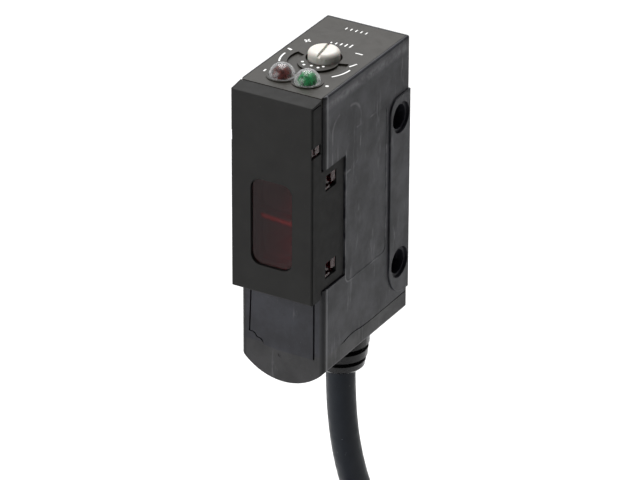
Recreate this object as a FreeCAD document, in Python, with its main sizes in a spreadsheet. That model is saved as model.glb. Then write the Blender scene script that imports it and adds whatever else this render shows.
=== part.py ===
import FreeCAD, Part
import math
import os
import re
import Sketcher

# Compact photoelectric sensor with a side pair of mounting holes, a clip-on front cover, a sensitivity
# adjuster, two indicator domes and a two-metre cable.  Millimetres, +Z up, the optical face looks
# along -Y.  The origin is midway between the two mounting holes, on the middle plane of the body.

# ---------------------------------------------------------------------------------------------------
# Driving dimensions.  Distances named after a face are measured from the origin.
# ---------------------------------------------------------------------------------------------------
SIZES = {
    # housing
    "body_width": 11.6, "front_face": 18.3, "back_face": 2.35, "top_face": 20.15,
    "band_line": 15.1, "side_foot": 17.15, "chin_drop": 2.7,
    "front_round": 0.45, "back_round": 0.3, "top_round": 0.3,
    "cavity_width": 8.0, "cavity_front": 17.0, "cavity_back": 2.9,
    "chamber_back": 1.0, "chamber_top": 12.4, "cap_floor": 16.6,
    # mounting holes and the raised pads round them
    "hole_pitch": 20.0, "hole_width": 3.2, "sink_width": 4.1, "sink_depth": 0.35,
    "pad_rise": 0.2, "pad_edge": 2.5, "pad_head": 13.0, "pad_foot": 14.4,
    "pad_head_round": 1.9, "pad_foot_round": 3.9, "pad_edge_round": 0.1,
    "label_front": 13.0, "label_rear": 3.3, "label_head": 13.0, "label_foot": 7.0, "label_depth": 0.03,
    "label_round": 0.8, "seam_depth": 0.14,
    # front cover
    "cover_face": 21.0, "cover_rear": 18.7, "cover_width": 11.2, "cover_head": 19.8,
    "cover_foot": 6.7, "cover_wall": 0.8, "face_wall": 0.9, "cover_round": 0.2, "lip_rise": 0.3,
    "groove_wall": 0.16, "groove_depth": 0.14, "groove_head": 19.6,
    "window_width": 5.8, "window_head": 8.75, "window_foot": 2.9, "window_round": 1.4,
    "window_recess": 0.3, "slot_head": 14.4, "slot_foot": 13.0, "slot_rear": 18.85, "slot_bite": 0.45,
    "wing_rear": 13.35, "wing_head": 10.4, "wing_foot": 5.65, "wing_wall": 0.45, "wing_gap": 0.15,
    "snap_front": 17.65, "snap_rear": 15.1, "snap_tall": 2.1, "snap_upper": 8.45, "snap_lower": 3.4,
    # red filter plate behind the cover
    "filter_rear": 18.45, "flange_front": 18.65, "filter_head": 18.8, "arm_wall": 0.4, "play": 0.05,
    "tongue_sink": 0.24, "lug_sink": 0.12,
    # lower front panel
    "panel_width": 9.0, "panel_depth": 1.0, "panel_gap": 0.2, "crack": 0.12, "panel_head": 6.0,
    "panel_lean": 0.3,
    "panel_foot": 15.65, "gate_x": 0.4, "gate_z": 16.2, "gate_width": 0.55, "gate_depth": 0.06,
    # top plate
    "plate_wall": 1.3, "plate_width": 10.9, "plate_play": 0.07, "plate_front": 18.6, "plate_rear": 1.85,
    "knob_y": 8.5, "well_width": 4.5, "well_depth": 0.8, "boss_width": 5.8, "boss_foot": 17.0,
    "smile_y": 9.95, "smile_inner": 2.5, "smile_outer": 3.75, "smile_depth": 0.25,
    "smile_across": 0.94, "smile_up": 0.342,
    "dome_x": 1.75, "dome_y": 15.45, "dome_width": 3.24, "dome_hole": 3.4, "rim_width": 3.9,
    "rim_rise": 0.12, "dome_foot": 18.85, "stem_width": 2.0, "stem_foot": 15.2,
    # sensitivity adjuster
    "knob_width": 3.96, "knob_head": 21.27, "knob_lift": 0.1, "knob_round": 0.6, "drive_width": 0.38,
    "drive_depth": 0.4, "drive_turn": 9.4, "shaft_width": 2.2, "shaft_play": 0.03, "ring_width": 3.5,
    "ring_space": 0.8,
    "rotor_width": 3.2, "rotor_head": 16.1, "rotor_foot": 15.2, "trimmer_width": 4.4,
    "trimmer_head": 16.3, "blade_wall": 0.5,
    # circuit boards and optics
    "board_wall": 0.8, "board_width": 7.6, "deck_head": 14.0, "deck_front": 16.8, "deck_rear": 3.4,
    "board_front": 12.3, "board_head": 12.6, "board_foot": 12.8,
    "holder_width": 7.6, "holder_front": 18.4, "holder_head": 10.6, "holder_foot": 4.6,
    "lens_width": 5.4, "lens_ledge": 16.4, "lens_crown": 18.2, "lens_curve": 7.5,
    "upper_head": 8.7, "upper_foot": 3.9, "lower_head": 3.3, "lower_foot": 2.9, "light_wall": 0.6,
    "emitter_z": 6.3, "receiver_z": 0.2,
    # cable
    "cable_y": 4.0, "cable_width": 3.8, "gland_mouth": 24.2, "core_width": 1.0, "core_pitch": 1.05,
    "flange_width": 6.4, "flange_head": 15.8, "neck_width": 4.96, "collar_width": 7.48, "collar_head": 18.4,
    "collar_foot": 20.65, "rib_width": 7.0, "rib_head": 21.4, "rib_foot": 22.45, "lip_width": 6.4,
    "lip_head": 23.1, "waist_width": 5.5, "ferrule_wall": 0.5, "ferrule_foot": 15.6, "ferrule_height": 1.4,
    "resin_foot": 15.75, "jacket_onward": 5.0, "tip_width": 0.6, "tip_length": 5.0,
    "resin_head": 13.0, "turn_radius": 20.0, "coil_layers": 4, "coil_columns": 4,
    "coil_y": 4.0, "coil_z": 85.5, "coil_stub": 16.0, "tie_width": 3.5, "tie_wall": 0.7,
}

doc = FreeCAD.newDocument("photoelectric_sensor")
sheet = doc.addObject("Spreadsheet::Sheet", "sizes")
for row, (alias, number) in enumerate(SIZES.items(), start=1):
    sheet.set(f"A{row}", alias)
    sheet.set(f"B{row}", str(number))
    sheet.setAlias(f"B{row}", alias)
doc.recompute()

WORD = re.compile(r"[a-z][a-z_]*")
V = FreeCAD.Vector
UP = V(0, 0, 1)
CLOSE = 1e-4
PIECES = []


def value(text):
    """The number that a formula of sheet names stands for."""
    numbers = WORD.sub(lambda word: str(SIZES.get(word[0], word[0])), text)
    return FreeCAD.Units.parseQuantity(numbers).Value


def formula(text):
    """The same formula, written as a document expression."""
    return WORD.sub(lambda word: "sizes." + word[0] if word[0] in SIZES else word[0], text)


def bind(item, **formulas):
    """Tie properties of an object to the sheet; two underscores stand for a dot."""
    for name, text in formulas.items():
        item.setExpression(name.replace("__", "."), formula(text))


def place(item, x="0", y="0", z="0"):
    """Tie an object's position to the sheet."""
    bind(item, Placement__Base__x=x, Placement__Base__y=y, Placement__Base__z=z)


def keep(item, label):
    """Register a finished sub-part under its label."""
    item.Label = label
    PIECES.append(item)
    return item


def new_body(label, x="0", y="0", z="0"):
    body = doc.addObject("PartDesign::Body", label)
    place(body, x, y, z)
    return keep(body, label)


# ---------------------------------------------------------------------------------------------------
# Sketches
# ---------------------------------------------------------------------------------------------------
def new_sketch(body, name, role, offset="0"):
    """A sketch on one of the body's own origin planes, moved along the plane's normal."""
    sketch = body.newObject("Sketcher::SketchObject", name + "_sketch")
    plane = next(feature for feature in body.Origin.OriginFeatures if feature.Role == role)
    sketch.AttachmentSupport = (plane, [""])
    sketch.MapMode = "FlatFace"
    bind(sketch, AttachmentOffset__Base__z=offset)
    return sketch


def fix_point(sketch, side, end, across, up):
    """Hold one end of a sketch line at two formulas, measured from the sketch's origin."""
    for kind, text in (("DistanceX", across), ("DistanceY", up)):
        number = sketch.addConstraint(Sketcher.Constraint(kind, -1, 1, side, end, value(text)))
        sketch.setExpression(f"Constraints[{number}]", formula(text))


def arc_between(start, end, radius):
    """The shorter arc of a radius that runs anticlockwise from start to end."""
    chord = end - start
    left = V(-chord.y, chord.x, 0).normalize()
    centre = (start + end) / 2 + left * math.sqrt(max(radius ** 2 - chord.Length ** 2 / 4, 0))
    first = math.atan2(start.y - centre.y, start.x - centre.x)
    last = math.atan2(end.y - centre.y, end.x - centre.x)
    if last < first:
        last += 2 * math.pi
    return Part.ArcOfCircle(Part.Circle(centre, UP, radius), first, last)


def outline(corners, arcs=None):
    """A closed outline.  arcs gives a side, by its number, the radius that it bends with; a minus
    sign bends it the other way."""
    arcs = arcs or {}

    def draw(sketch):
        points = [V(value(across), value(up), 0) for across, up in corners]
        ends = []
        for side, start in enumerate(points):
            end = points[(side + 1) % len(points)]
            text = arcs.get(side)
            if text is None:
                sketch.addGeometry(Part.LineSegment(start, end))
                ends.append((1, 2))
                continue
            size = text.lstrip("-")
            inward = text.startswith("-")
            first, last = (end, start) if inward else (start, end)
            sketch.addGeometry(arc_between(first, last, value(size)))
            ends.append((2, 1) if inward else (1, 2))
            number = sketch.addConstraint(Sketcher.Constraint("Radius", side, value(size)))
            sketch.setExpression(f"Constraints[{number}]", formula(size))
        for side, (_, finish) in enumerate(ends):
            after = (side + 1) % len(ends)
            sketch.addConstraint(Sketcher.Constraint("Coincident", side, finish, after, ends[after][0]))
        for side, (across, up) in enumerate(corners):
            fix_point(sketch, side, ends[side][0], across, up)

    return draw


def rectangle(left, right, low, high):
    return outline([(left, low), (right, low), (right, high), (left, high)])


def rounded(left, right, low, high, radius):
    """A rectangle with four rounded corners."""
    corners = [
        (f"{left} + {radius}", low), (f"{right} - {radius}", low), (right, f"{low} + {radius}"),
        (right, f"{high} - {radius}"), (f"{right} - {radius}", high), (f"{left} + {radius}", high),
        (left, f"{high} - {radius}"), (left, f"{low} + {radius}"),
    ]
    return outline(corners, {1: radius, 3: radius, 5: radius, 7: radius})


def circles(diameter, *centres):
    """Circles of one diameter about one or more centres."""

    def draw(sketch):
        for number, (across, up) in enumerate(centres):
            middle = V(value(across), value(up), 0)
            sketch.addGeometry(Part.Circle(middle, UP, value(diameter) / 2))
            fix_point(sketch, number, 3, across, up)
            size = sketch.addConstraint(Sketcher.Constraint("Diameter", number, value(diameter)))
            sketch.setExpression(f"Constraints[{size}]", formula(diameter))

    return draw


# ---------------------------------------------------------------------------------------------------
# Body features
# ---------------------------------------------------------------------------------------------------
XY, XZ, YZ = "XY_Plane", "XZ_Plane", "YZ_Plane"


def volume(body):
    return 0.0 if body.Shape.isNull() else body.Shape.Volume


def extrude(body, name, kind, role, low, high, draw):
    """Pad or pocket an outline between two positions on the axis that crosses its plane.  The XZ
    plane looks along -Y, so its sketch starts from the other end."""
    at_low = (kind == "Pad") != (role == XZ)
    start = low if at_low else high
    sketch = new_sketch(body, name, role, f"-({start})" if role == XZ else start)
    draw(sketch)
    before = volume(body)
    feature = body.newObject("PartDesign::" + kind, name)
    feature.Profile = sketch
    bind(feature, Length=f"({high}) - ({low})")
    body.Tip = feature
    doc.recompute()
    change = volume(body) - before
    if (kind == "Pad") != (change > CLOSE) or abs(change) < CLOSE:
        raise RuntimeError(f"{body.Label}.{name} changed the volume by {change:.4f} mm3")
    return feature


def pad(body, name, role, low, high, draw):
    return extrude(body, name, "Pad", role, low, high, draw)


def pocket(body, name, role, low, high, draw):
    return extrude(body, name, "Pocket", role, low, high, draw)


def both_sides(low, high):
    """An interval along X and its mirror image."""
    return ("right", low, high), ("left", f"-({high})", f"-({low})")


def turned(body, name, corners, arcs=None, kind="Revolution"):
    """Turn a half section, drawn as (radius, height), about the body's own Z axis."""
    sketch = new_sketch(body, name, XZ)
    outline(corners, arcs)(sketch)
    feature = body.newObject("PartDesign::" + kind, name)
    feature.Profile = sketch
    feature.ReferenceAxis = (sketch, ["V_Axis"])
    feature.Angle = 360
    body.Tip = feature
    doc.recompute()
    return feature


def runs(edge, along):
    """Whether an edge is straight and parallel to an axis, given by its letter."""
    if edge.Curve.TypeId != "Part::GeomLine":
        return False
    start, end = (vertex.Point for vertex in edge.Vertexes)
    return abs(getattr(end - start, along)) > edge.Length - CLOSE


def fillet(body, name, radius, along=None, **where):
    """Round the edges whose ends all lie at the stated distances from the body's own planes."""
    base = body.Tip
    names = []
    for number, edge in enumerate(base.Shape.Edges, start=1):
        ends = [vertex.Point for vertex in edge.Vertexes]
        there = all(abs(point_value(end, axis) - value(text)) < CLOSE
                    for axis, text in where.items() for end in ends)
        if there and (along is None or runs(edge, along)):
            names.append(f"Edge{number}")
    if not names:
        raise RuntimeError(f"{body.Label}.{name} found no edge")
    feature = body.newObject("PartDesign::Fillet", name)
    feature.Base = (base, names)
    bind(feature, Radius=radius)
    body.Tip = feature
    doc.recompute()
    return feature


def point_value(point, axis):
    """A coordinate by its letter; "side" is the distance from the middle plane."""
    return abs(point.x) if axis == "side" else getattr(point, axis)


def box(label, width, depth, height, x, y, z):
    """A plain block, placed by the middle of its width and by its lower corner in Y and Z."""
    item = doc.addObject("Part::Box", label)
    bind(item, Length=width, Width=depth, Height=height)
    place(item, f"({x}) - ({width}) / 2", y, z)
    return item


def cylinder(label, diameter, height, x, y, z):
    item = doc.addObject("Part::Cylinder", label)
    bind(item, Radius=f"({diameter}) / 2", Height=height)
    place(item, x, y, z)
    return item


def joined(label, *items):
    fuse = doc.addObject("Part::MultiFuse", label)
    fuse.Shapes = list(items)
    return fuse


def cut(label, base, tool):
    item = doc.addObject("Part::Cut", label)
    item.Base = base
    item.Tool = tool
    return item


def compound(label, items):
    """A group of separate solids in one sub-part."""
    group = doc.addObject("Part::Compound", label)
    group.Links = items
    return group


HALF = "body_width / 2"


# ---------------------------------------------------------------------------------------------------
# Lower front panel: one outline serves the panel and the pockets that it sits in.  The crooked
# lower left corner is where the moulding closes round it.
# ---------------------------------------------------------------------------------------------------
def panel_outline(gap, crack):
    edge = f"panel_width / 2 - {gap}"
    return outline([
        (f"-({edge})", "-panel_head"), (f"-({edge}) - panel_lean", f"-14.05 + {crack}"),
        (f"-4.3 + {crack}", f"-14.05 + {crack}"), (f"-3.95 + {crack}", f"-14.25 + {crack}"),
        (f"-3.7 + {crack}", f"-14.66 + {crack}"), (f"-3.2 + {crack}", f"-14.74 + {crack}"),
        (f"-2.93 + {crack}", f"-15.0 + {crack}"), ("-2.7", "-15.4"), ("-0.9", "-panel_foot"),
        (edge, "-panel_foot"), (edge, "-panel_head"),
    ])


def lower_front_panel():
    body = new_body("lower_front_panel")
    pad(body, "plate", XZ, "-front_face", "-front_face + panel_depth", panel_outline("panel_gap", "crack"))
    fillet(body, "upright_edges", "0.08", along="z", y="-front_face")


# ---------------------------------------------------------------------------------------------------
# Housing shell
# ---------------------------------------------------------------------------------------------------
def mounting_pads(body):
    pad_outline = outline(
        [
            ("back_face", "-pad_foot"), ("back_face", "pad_head"),
            ("-pad_edge + pad_head_round", "pad_head"), ("-pad_edge", "pad_head - pad_head_round"),
            ("-pad_edge", "-pad_foot + pad_foot_round"), ("-pad_edge + pad_foot_round", "-pad_foot"),
        ],
        {2: "pad_head_round", 4: "pad_foot_round"},
    )
    for side, low, high in both_sides(f"{HALF} - back_round", f"{HALF} + pad_rise"):
        pad(body, "mounting_pad_" + side, YZ, low, high, pad_outline)
    fillet(body, "pad_edges", "pad_edge_round", side=f"{HALF} + pad_rise")
    holes = [("0", "hole_pitch / 2"), ("0", "-hole_pitch / 2")]
    outside = f"{HALF} + pad_rise"
    pocket(body, "mounting_holes", YZ, f"-({outside})", outside, circles("hole_width", *holes))
    for side, low, high in both_sides(f"{outside} - sink_depth", outside):
        pocket(body, "counterbores_" + side, YZ, low, high, circles("sink_width", *holes))


def housing_shell():
    body = new_body("housing_shell")
    pad(body, "block", XY, "-band_line", "top_face", rectangle(f"-{HALF}", HALF, "-front_face", "back_face"))
    fillet(body, "front_corners", "front_round", along="z", side=HALF, y="-front_face")
    fillet(body, "back_corners", "back_round", along="z", side=HALF, y="back_face")
    fillet(body, "top_edge", "top_round", z="top_face")
    inner = "cavity_width / 2"
    pocket(body, "cavity", XY, "-band_line", "top_face - plate_wall",
           rectangle(f"-{inner}", inner, "-cavity_front", "-cavity_back"))
    pocket(body, "cable_chamber", XY, "-band_line", "-chamber_top",
           rectangle(f"-{inner}", inner, "-cavity_back - 1", "chamber_back"))
    seat = "plate_width / 2 + plate_play"
    pocket(body, "plate_seat", XY, "top_face - plate_wall", "top_face",
           rectangle(f"-({seat})", seat, "-front_face", "plate_rear + plate_play"))
    pocket(body, "optics_opening", XZ, "-front_face", "-cavity_front",
           rectangle(f"-{inner}", inner, "-holder_foot - 0.3", "holder_head + 0.3"))
    gasket = f"{inner} + 0.6"
    pocket(body, "gasket_groove", XZ, "-front_face", "-front_face + 0.3",
           rectangle(f"-({gasket})", gasket, "-holder_foot - 0.9", "holder_head + 0.9"))
    pocket(body, "panel_pocket", XZ, "-front_face", "-front_face + panel_depth", panel_outline("0", "0"))
    wing = rectangle("-front_face", "-wing_rear + wing_gap", "-wing_foot - 0.2", "wing_head + 0.1")
    floor = "cover_width / 2 - wing_wall - play - arm_wall"
    for side, low, high in both_sides(floor, HALF):
        pocket(body, "wing_recess_" + side, YZ, low, high, wing)
    label = rounded("-label_front", "-label_rear", "-label_foot", "label_head", "label_round")
    for side, low, high in both_sides(f"{HALF} - label_depth", HALF):
        pocket(body, "label_field_" + side, YZ, low, high, label)
    seam = outline([
        ("back_face", "-band_line"), ("back_face", "-band_line + 0.12"), ("-6.4", "-band_line + 0.1"),
        ("-8.9", "-band_line + 0.18"), ("-10.4", "-band_line + 0.38"), ("-11.8", "-band_line + 0.44"),
        ("-13.8", "-band_line + 0.1"), ("-14.4", "-band_line"), ("-13.3", "-band_line"),
        ("-11.9", "-band_line + 0.29"), ("-10.4", "-band_line + 0.24"), ("-8.9", "-band_line + 0.06"),
        ("-7.6", "-band_line"),
    ])
    for side, low, high in both_sides(f"{HALF} - seam_depth", HALF):
        pocket(body, "seam_" + side, YZ, low, high, seam)
    mounting_pads(body)


# ---------------------------------------------------------------------------------------------------
# Bottom cap: closes the housing below the seam; its underside is a shallow barrel across the width
# ---------------------------------------------------------------------------------------------------
def bottom_cap():
    body = new_body("bottom_cap")
    radius = "(body_width^2 / 4 + chin_drop^2) / (2 * chin_drop)"
    profile = outline(
        [(f"-{HALF}", "-band_line"), (f"-{HALF}", "-side_foot"), (HALF, "-side_foot"), (HALF, "-band_line")],
        {1: radius},
    )
    pad(body, "barrel", XZ, "-front_face", "back_face", profile)
    fillet(body, "front_corners", "front_round", along="z", side=HALF, y="-front_face")
    fillet(body, "back_corners", "back_round", along="z", side=HALF, y="back_face")
    inner = "cavity_width / 2"
    pocket(body, "tray", XY, "-cap_floor", "-band_line",
           rectangle(f"-{inner}", inner, "-cavity_front", "chamber_back"))
    pocket(body, "panel_pocket", XZ, "-front_face", "-front_face + panel_depth", panel_outline("0", "0"))
    foot = "-side_foot - chin_drop"
    middle = ("0", "-cable_y")
    pocket(body, "gland_hole", XY, foot, "-cap_floor", circles("neck_width + 0.04", middle))
    pocket(body, "gland_seat", XY, foot, "-collar_head", circles("collar_width + 0.12", middle))
    pocket(body, "gate_mark", XZ, "-front_face", "-front_face + gate_depth",
           circles("gate_width", ("-gate_x", "-gate_z")))


# ---------------------------------------------------------------------------------------------------
# Front cover: a shallow box with a wing on each side that snaps over the lugs of the filter plate
# ---------------------------------------------------------------------------------------------------
def front_cover():
    body = new_body("front_cover")
    half = "cover_width / 2"
    profile = outline([
        ("-cover_face", "-cover_foot"), ("-cover_rear", "-cover_foot"),
        ("-cover_rear", "cover_head + lip_rise"), ("-cover_face", "cover_head"),
    ])
    pad(body, "block", YZ, f"-{half}", half, profile)
    fillet(body, "front_edge", "cover_round", y="-cover_face")
    inner = f"{half} - cover_wall"
    pocket(body, "inside", XZ, "-cover_face + face_wall", "-cover_rear",
           rectangle(f"-({inner})", inner, "-cover_foot + cover_wall", "cover_head - cover_wall"))
    opening = "window_width / 2"
    pocket(body, "window", XZ, "-cover_face", "-cover_face + face_wall",
           rounded(f"-{opening}", opening, "-window_foot", "window_head", "window_round"))
    wing = rectangle("-cover_rear - 0.5", "-wing_rear", "-wing_foot", "wing_head")
    front = "-cover_face + cover_round"
    notch = rectangle("-cover_face", front, "slot_foot", "slot_head")
    bite = rectangle(front, "-slot_rear", "slot_foot", "slot_head")
    through = rectangle("-cover_face + face_wall", "-slot_rear", "slot_foot", "slot_head")
    for side, low, high in both_sides(f"{half} - wing_wall", half):
        pad(body, "wing_" + side, YZ, low, high, wing)
        for name, height in (("upper", "snap_upper"), ("lower", "-snap_lower")):
            square = rectangle("-snap_front", "-snap_rear", f"{height} - snap_tall / 2",
                               f"{height} + snap_tall / 2")
            pocket(body, f"snap_window_{name}_{side}", YZ, low, high, square)
    for side, low, high in both_sides(f"{half} - slot_bite", half):
        pocket(body, "side_slot_" + side, YZ, low, high, bite)
    upright = rectangle(front, f"{front} + groove_wall", "-cover_foot", "groove_head")
    level = rectangle(front, "-cover_rear", "groove_head - groove_wall", "groove_head")
    for side, low, high in both_sides(f"{half} - groove_depth", half):
        pocket(body, "front_groove_" + side, YZ, low, high, upright)
        pocket(body, "top_groove_" + side, YZ, low, high, level)
        pocket(body, "slot_notch_" + side, YZ, low, high, notch)
    for side, low, high in both_sides(inner, f"{half} - slot_bite"):
        pocket(body, "side_slot_through_" + side, YZ, low, high, through)


# ---------------------------------------------------------------------------------------------------
# Filter plate: dark red, with a raised window pad, lugs in the cover's side slots and an arm with
# two hooked lugs under each wing
# ---------------------------------------------------------------------------------------------------
def filter_plate():
    body = new_body("filter_plate")
    half = "cover_width / 2 - cover_wall - 0.1"
    foot = "-cover_foot + cover_wall + 0.1"
    pad(body, "plate", XZ, "-cover_face + face_wall + play", "-filter_rear",
        rectangle(f"-({half})", half, foot, "filter_head"))
    window = "window_width / 2 - 0.1"
    pad(body, "window_pad", XZ, "-cover_face + window_recess", "-cover_face + face_wall + play",
        rounded(f"-({window})", window, "-window_foot + 0.1", "window_head - 0.1", "(window_round - 0.1)"))
    outside = "cover_width / 2 - wing_wall - play"
    flange = rectangle("-flange_front", "-filter_rear", "-wing_foot + 0.4", "wing_head - 0.4")
    arm = rectangle("-filter_rear", "-wing_rear - 0.5", "-wing_foot + 0.4", "wing_head - 0.4")
    for side, low, high in both_sides(half, outside):
        pad(body, "flange_" + side, YZ, low, high, flange)
    for side, low, high in both_sides(f"{outside} - arm_wall", outside):
        pad(body, "arm_" + side, YZ, low, high, arm)
    slot_lugs(body, half)
    snap_lugs(body, outside)


def slot_lugs(body, root):
    """Lugs in the cover's side slots: a stem through the wall, a tongue forward of it and a crest."""
    tongue_tip, crest_tip = "cover_width / 2 - tongue_sink", "cover_width / 2 - lug_sink"
    behind, rear = "-cover_face + face_wall + play", "-slot_rear - 0.25"
    low, high = "slot_foot + play", "slot_head - play"
    stem = rectangle(behind, rear, low, high)
    tongue = rectangle("-cover_face + cover_round + play", f"{behind} + 0.1", low, high)
    crest = rectangle(behind, rear, f"{low} + 0.25", high)
    shapes = (("stem", stem, root, tongue_tip), ("crest", crest, root, crest_tip),
              ("tongue", tongue, "cover_width / 2 - slot_bite + play", tongue_tip))
    for name, shape, first, last in shapes:
        for side, inner, outer in both_sides(first, last):
            pad(body, f"slot_{name}_{side}", YZ, inner, outer, shape)


def snap_lugs(body, outside):
    """In the snap windows: a hooked lug in the upper rear corner and a ledge in the lower front one."""
    tip = "cover_width / 2 - lug_sink"
    for name, height in (("upper", "snap_upper"), ("lower", "-snap_lower")):
        for side, sign in (("right", ""), ("left", "-")):
            hook = outline([
                (f"{sign}({outside})", "-snap_rear - 1.1"), (f"{sign}({outside})", "-snap_rear - 0.06"),
                (f"{sign}({tip})", "-snap_rear - 0.06"), (f"{sign}({tip} - 0.06)", "-snap_rear - 1.0"),
            ])
            ledge = outline([
                (f"{sign}({outside})", "-snap_front + 0.06"), (f"{sign}({outside})", "-snap_front + 1.3"),
                (f"{sign}({tip} - 0.03)", "-snap_front + 1.2"),
                (f"{sign}({tip} - 0.03)", "-snap_front + 0.06"),
            ])
            pad(body, f"snap_hook_{name}_{side}", XY, f"{height} - 0.35", f"{height} + snap_tall / 2 - 0.1",
                hook)
            pad(body, f"snap_ledge_{name}_{side}", XY, f"{height} - snap_tall / 2 + 0.1", f"{height} - 0.6",
                ledge)


def cover_gasket():
    """Rubber frame in the groove round the housing's front opening."""
    body = new_body("cover_gasket")
    outer = "cavity_width / 2 + 0.55"
    inner = "cavity_width / 2 + 0.05"
    pad(body, "frame", XZ, "-filter_rear", "-front_face + 0.3",
        rectangle(f"-({outer})", outer, "-holder_foot - 0.85", "holder_head + 0.85"))
    pocket(body, "opening", XZ, "-filter_rear", "-front_face + 0.3",
           rectangle(f"-({inner})", inner, "-holder_foot - 0.35", "holder_head + 0.35"))


# ---------------------------------------------------------------------------------------------------
# Top plate with the adjuster well, the crescent groove and the two dome holes
# ---------------------------------------------------------------------------------------------------
def top_plate():
    body = new_body("top_plate")
    half = "plate_width / 2"
    foot = "top_face - plate_wall"
    seat = "top_face - well_depth - ring_space"
    knob = ("0", "-knob_y")
    domes = [("-dome_x", "-dome_y"), ("dome_x", "-dome_y")]
    pad(body, "plate", XY, foot, "top_face", rectangle(f"-{half}", half, "-plate_front", "plate_rear"))
    pad(body, "boss", XY, "boss_foot", foot, circles("boss_width", knob))
    for side, centre in zip(("left", "right"), domes):
        pad(body, "dome_rim_" + side, XY, "top_face", "top_face + rim_rise", circles("rim_width", centre))
    for side, centre in zip(("left", "right"), domes):
        pocket(body, "dome_hole_" + side, XY, foot, "top_face + rim_rise", circles("dome_hole", centre))
    pocket(body, "well", XY, "top_face - well_depth", "top_face", circles("well_width", knob))
    pocket(body, "ring_seat", XY, seat, "top_face - well_depth", circles("ring_width + 0.04", knob))
    pocket(body, "shaft_bore", XY, "boss_foot", seat, circles("shaft_width + 2 * shaft_play", knob))
    ends = [(f"{sign}{radius} * smile_across", f"-smile_y + {radius} * smile_up")
            for sign, radius in (("-", "smile_inner"), ("-", "smile_outer"), ("", "smile_outer"),
                                 ("", "smile_inner"))]
    smile = outline(
        [*ends[:2], ("0", "-smile_y - smile_outer"), *ends[2:], ("0", "-smile_y - smile_inner")],
        {1: "smile_outer", 2: "smile_outer", 4: "-smile_inner", 5: "-smile_inner"},
    )
    pocket(body, "crescent", XY, "top_face - smile_depth", "top_face", smile)


# ---------------------------------------------------------------------------------------------------
# Sensitivity adjuster: slotted head, shaft and blade; its origin is on the plate's top face
# ---------------------------------------------------------------------------------------------------
def sensitivity_knob():
    body = new_body("sensitivity_knob", y="-knob_y", z="top_face")
    body.setExpression("Placement.Rotation.Angle", formula("drive_turn"))
    radius = "knob_width / 2"
    under = "-well_depth + knob_lift"
    shaft = "shaft_width / 2"
    foot = "rotor_head - top_face"
    head = "knob_head - top_face"
    turned(body, "turned_blank", [
        ("0", foot), (shaft, foot), (shaft, under), (radius, under), (radius, head), ("0", head),
    ])
    fillet(body, "head_edge", "knob_round", z=head)
    pocket(body, "screwdriver_slot", XY, f"{head} - drive_depth", head,
           rectangle("-drive_width / 2", "drive_width / 2", f"-{radius}", radius))
    pad(body, "blade", XY, "rotor_foot + 0.3 - top_face", foot,
        rectangle("-blade_wall / 2", "blade_wall / 2", f"-({shaft} - 0.15)", f"{shaft} - 0.15"))


def trimmer():
    """Single-turn trimmer: a fixed case on the upper board and the rotor that the blade drives."""
    rotor = new_body("trimmer_rotor", y="-knob_y")
    rotor.setExpression("Placement.Rotation.Angle", formula("drive_turn"))
    pad(rotor, "disc", XY, "rotor_foot", "rotor_head", circles("rotor_width", ("0", "0")))
    pocket(rotor, "drive_slot", XY, "rotor_foot + 0.3", "rotor_head",
           rectangle("-blade_wall / 2", "blade_wall / 2", "-shaft_width / 2 + 0.15",
                     "shaft_width / 2 - 0.15"))
    case = new_body("trimmer_case", y="-knob_y")
    half = "trimmer_width / 2"
    pad(case, "block", XY, "deck_head", "trimmer_head", rectangle(f"-{half}", half, f"-{half}", half))
    pocket(case, "rotor_well", XY, "rotor_foot - 0.1", "trimmer_head",
           circles("rotor_width + 0.16", ("0", "0")))
    fillet(case, "upright_edges", "0.3", side=half)


def knob_seal():
    """O-ring between the adjuster's shaft and the top plate."""
    ring = keep(doc.addObject("Part::Torus", "knob_seal"), "knob_seal")
    bind(ring, Radius1="(ring_width + shaft_width + 2 * shaft_play) / 4",
         Radius2="(ring_width - shaft_width - 2 * shaft_play) / 4")
    place(ring, y="-knob_y", z="top_face - well_depth - ring_space / 2")


def indicator_dome(label, x):
    """Clear dome on a light-guide stem; its origin is on the top plate's face."""
    body = new_body(label, x=x, y="-dome_y", z="top_face")
    radius = "dome_width / 2"
    shoulder = "dome_foot - top_face"
    foot = "stem_foot - top_face"
    turned(
        body, "dome",
        [
            ("0", foot), ("stem_width / 2", foot), ("stem_width / 2", shoulder), (radius, shoulder),
            (radius, "0.05"), ("0", f"0.05 + {radius}"),
        ],
        {4: radius},
    )


# ---------------------------------------------------------------------------------------------------
# Optics
# ---------------------------------------------------------------------------------------------------
def lens_holder():
    """Black block with one chamber for the emitter and one for the receiver."""
    body = new_body("lens_holder")
    half = "holder_width / 2"
    lens = "lens_width / 2 + play"
    tube = "lens_width / 2 - light_wall"
    rear = "-board_front"
    pad(body, "block", XZ, "-holder_front", rear, rectangle(f"-{half}", half, "-holder_foot", "holder_head"))
    chambers = (("emitter", "upper_foot", "upper_head"), ("receiver", "-lower_foot", "lower_head"))
    for name, low, high in chambers:
        pocket(body, name + "_seat", XZ, "-holder_front", "-lens_ledge",
               rectangle(f"-({lens})", lens, f"{low} - play", f"{high} + play"))
        pocket(body, name + "_chamber", XZ, "-lens_ledge", rear,
               rectangle(f"-({tube})", tube, f"{low} + light_wall", f"{high} - light_wall"))


def lens(label, low, high):
    """Rectangular lens with a convex front: a block trimmed by a ball."""
    block = box(label + "_block", "lens_width", "lens_crown - lens_ledge", f"({high}) - ({low})",
                "0", "-lens_crown", low)
    ball = doc.addObject("Part::Sphere", label + "_ball")
    bind(ball, Radius="lens_curve")
    place(ball, y="-lens_crown + lens_curve", z=f"(({low}) + ({high})) / 2")
    item = doc.addObject("Part::Common", label)
    item.Base = block
    item.Tool = ball
    return keep(item, label)


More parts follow.
